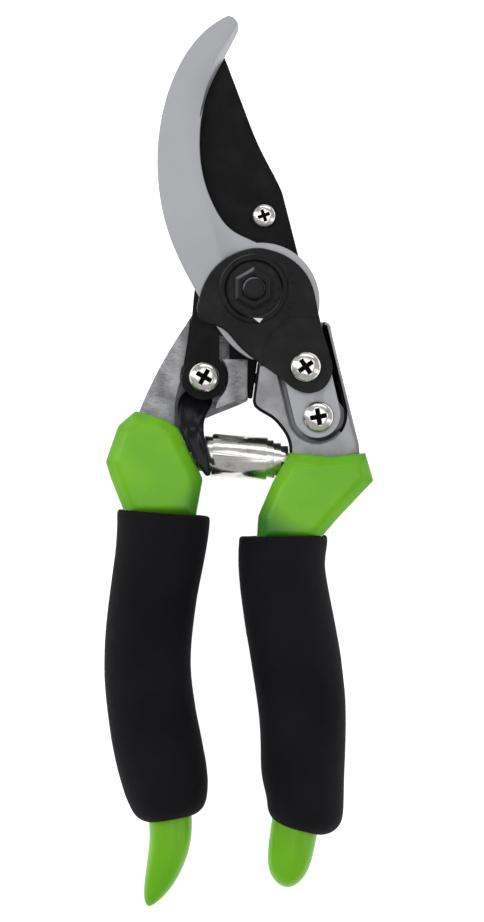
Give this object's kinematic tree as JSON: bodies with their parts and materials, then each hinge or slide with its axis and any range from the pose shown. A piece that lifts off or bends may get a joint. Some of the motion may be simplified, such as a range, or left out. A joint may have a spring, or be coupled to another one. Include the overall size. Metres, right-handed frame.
{
  "type": "bypass pruner",
  "caption": "Hand-held bypass pruner with a hooked counter jaw, coated cutting blade, spring-loaded handles in dipped coats with foam grips, and a thumb catch.",
  "frame": {"origin": "on the main pivot axis, in the plane that the tool lies on, which is the back face of the pivot bolt's head", "axes": "+Z along the pivot axis away from the surface it lies on, +Y towards the jaw tip, +X towards the handle that carries the hook jaw"},
  "size_m": [0.0652, 0.2159, 0.023],
  "materials": {
    "casting": "as-cast, lightly scratched",
    "green_dip": "glossy dipped coat",
    "foam": "matte closed-cell foam",
    "black_coated_steel": "matte non-stick coat",
    "satin_steel": "satin",
    "bumper_rubber": "matte",
    "spring_steel": "bright",
    "pin_steel": "satin",
    "black_steel": "semi-gloss black",
    "bushing_brass": "turned",
    "bright_screw": "bright zinc",
    "catch_black": "glossy"
  },
  "bodies": {
    "left_half": {"left_handle_core": "casting", "left_handle_dip": "green_dip", "left_grip": "foam", "cutting_blade": "black_coated_steel", "stop_bumper": "bumper_rubber", "volute_spring": "spring_steel", "left_spring_pin": "pin_steel", "pivot_bolt": "black_steel", "pivot_bushing": "bushing_brass", "tension_washer": "black_steel", "pivot_nut": "black_steel", "blade_screw": "bright_screw", "catch_screw": "bright_screw"},
    "right_half": {"right_handle_core": "casting", "right_handle_dip": "green_dip", "right_grip": "foam", "hook_jaw": "satin_steel", "lock_plate": "black_coated_steel", "right_spring_pin": "pin_steel", "plate_screw": "bright_screw", "tang_screw": "bright_screw"},
    "catch_lever": {"thumb_catch": "catch_black"}
  },
  "joints": [
    {"name": "main_pivot", "type": "hinge", "parent": "left_half", "child": "right_half", "pos_m": [0, 0, 0.0117], "axis": [0, 0, 1], "range_deg": [0, 28], "deforming": ["volute_spring"]},
    {"name": "catch_pivot", "type": "hinge", "parent": "left_half", "child": "catch_lever", "pos_m": [-0.0121, -0.0212, 0.0075], "axis": [0, 0, 1], "range_deg": [0, 9]}
  ]
}
